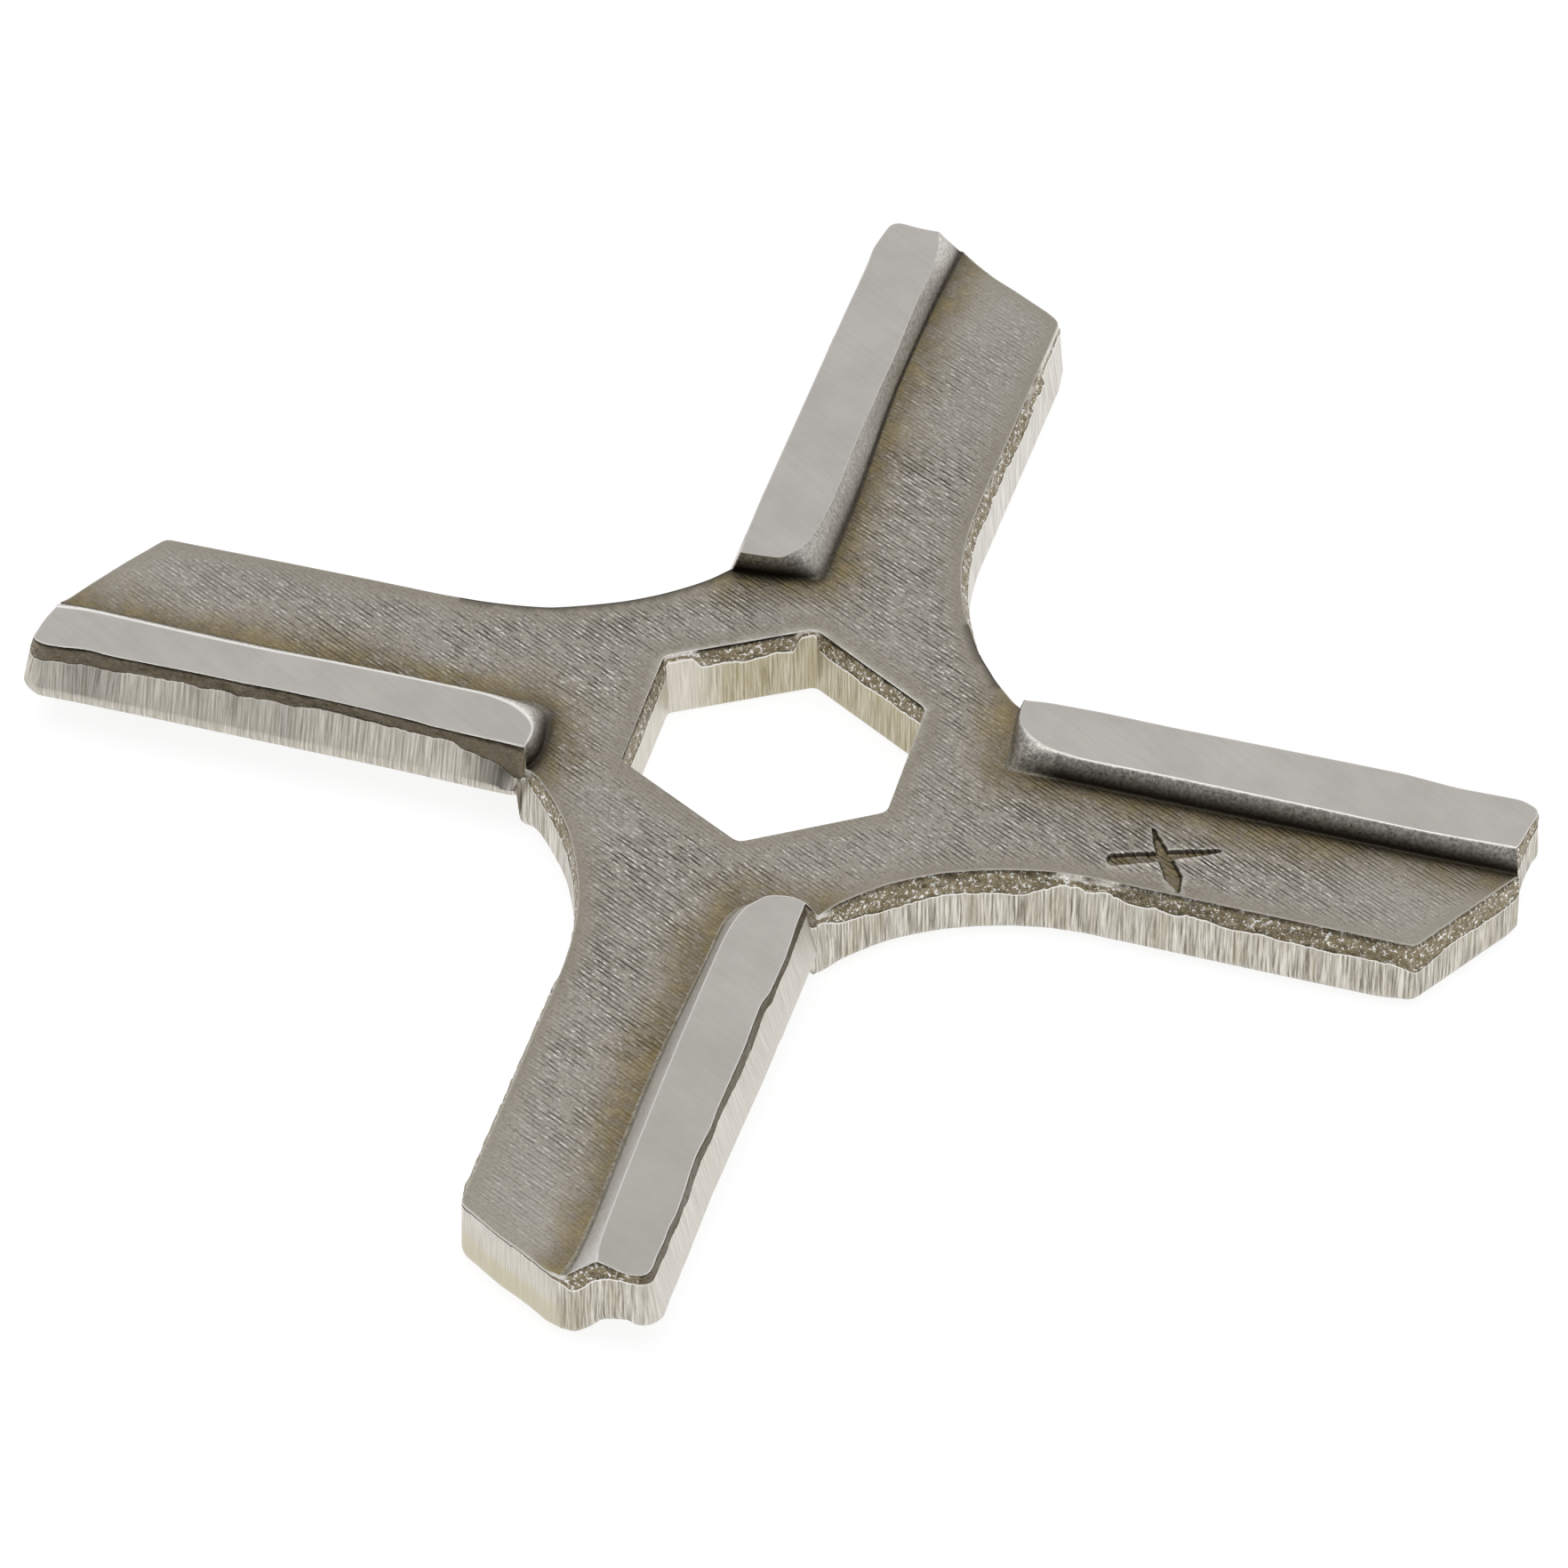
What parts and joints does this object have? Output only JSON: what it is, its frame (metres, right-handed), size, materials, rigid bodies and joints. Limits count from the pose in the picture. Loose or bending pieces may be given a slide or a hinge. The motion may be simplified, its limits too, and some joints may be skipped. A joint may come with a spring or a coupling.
{
  "type": "meat grinder knife",
  "caption": "Flat cross-shaped steel grinder knife with a hexagonal drive hole, a raised ground rib along each arm's cutting edge and slant-ended wings.",
  "frame": {"origin": "axis of the hexagonal drive hole, at the level of the flat underside", "axes": "+Z along the drive axis, towards the ground rib tops; +X along the arm that carries the crossed strokes, +Y along the arm nearest a corner of the hexagon"},
  "size_m": [0.0496, 0.0496, 0.0035],
  "materials": {
    "steel": "punched and ground steel, smooth on the rib tops, coarsely ground between them"
  },
  "bodies": {
    "root": {"knife": "steel"}
  },
  "joints": []
}
